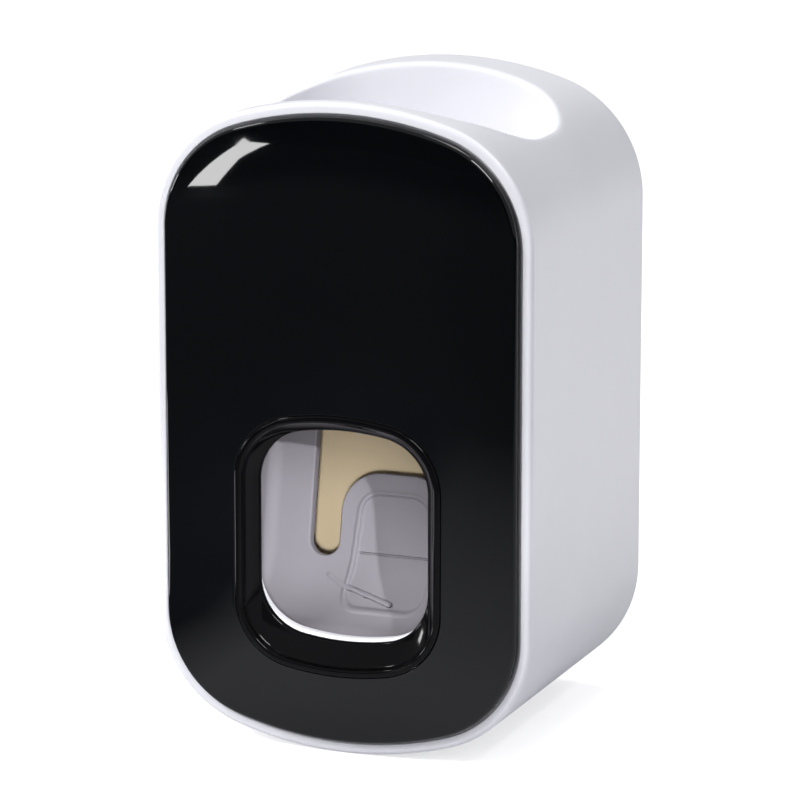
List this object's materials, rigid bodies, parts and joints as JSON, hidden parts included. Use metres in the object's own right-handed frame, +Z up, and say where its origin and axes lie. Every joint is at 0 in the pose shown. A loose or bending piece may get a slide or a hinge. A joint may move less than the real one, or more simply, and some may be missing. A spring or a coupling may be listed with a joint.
{
  "type": "toothpaste dispenser",
  "caption": "Wall-mounted hand-pumped toothpaste dispenser: a bowl on top takes the tube, and pushing a brush into the front window squeezes paste onto it.",
  "frame": {"origin": "centre of the adhesive face that sits on the wall, on the middle plane of the case", "axes": "+X to the right seen from the front, +Y into the wall, +Z up"},
  "size_m": [0.062, 0.0543, 0.102],
  "materials": {
    "white_housing": "moulded ABS, satin gloss",
    "black_panel": "moulded acrylic, high gloss",
    "grey_lever": "moulded acetal, satin",
    "natural_frame": "moulded natural ABS, matt",
    "natural_fittings": "moulded natural acetal, satin",
    "white_cover": "moulded ABS, fine texture",
    "clear_silicone": "moulded silicone, milky",
    "steel": "zinc plated steel",
    "adhesive_foam": "acrylic foam tape"
  },
  "bodies": {
    "wall_mount": {"wall_plate": "white_cover", "adhesive_pad": "adhesive_foam"},
    "dispenser": {"back_cover": "natural_frame", "back_cover_screws": "steel", "housing": "white_housing", "front_frame": "white_housing", "front_panel": "black_panel", "window_collar": "black_panel", "pump_frame": "natural_frame", "pump_frame_screws": "steel", "tube_seal": "clear_silicone", "inlet_valve_seat": "natural_fittings", "inlet_valve": "clear_silicone", "bladder_top_clamp": "natural_fittings", "pump_bladder": "clear_silicone", "bladder_bottom_clamp": "natural_fittings", "outlet_nozzle": "natural_fittings", "outlet_valve": "clear_silicone", "lever_pin": "steel", "pin_clip": "steel", "stop_bumper": "clear_silicone"},
    "lever": {"push_lever": "grey_lever"}
  },
  "joints": [
    {"name": "lift_off", "type": "slide", "parent": "wall_mount", "child": "dispenser", "axis": [0, 0, 1], "range_m": [0, 0.0055]},
    {"name": "lever_push", "type": "hinge", "parent": "dispenser", "child": "lever", "pos_m": [0, -0.022, 0.004], "axis": [1, 0, 0], "range_deg": [0, 16], "stiffness_Nm_per_rad": 0.3, "springref_deg": -5.73, "deforming": ["pump_bladder"]}
  ]
}
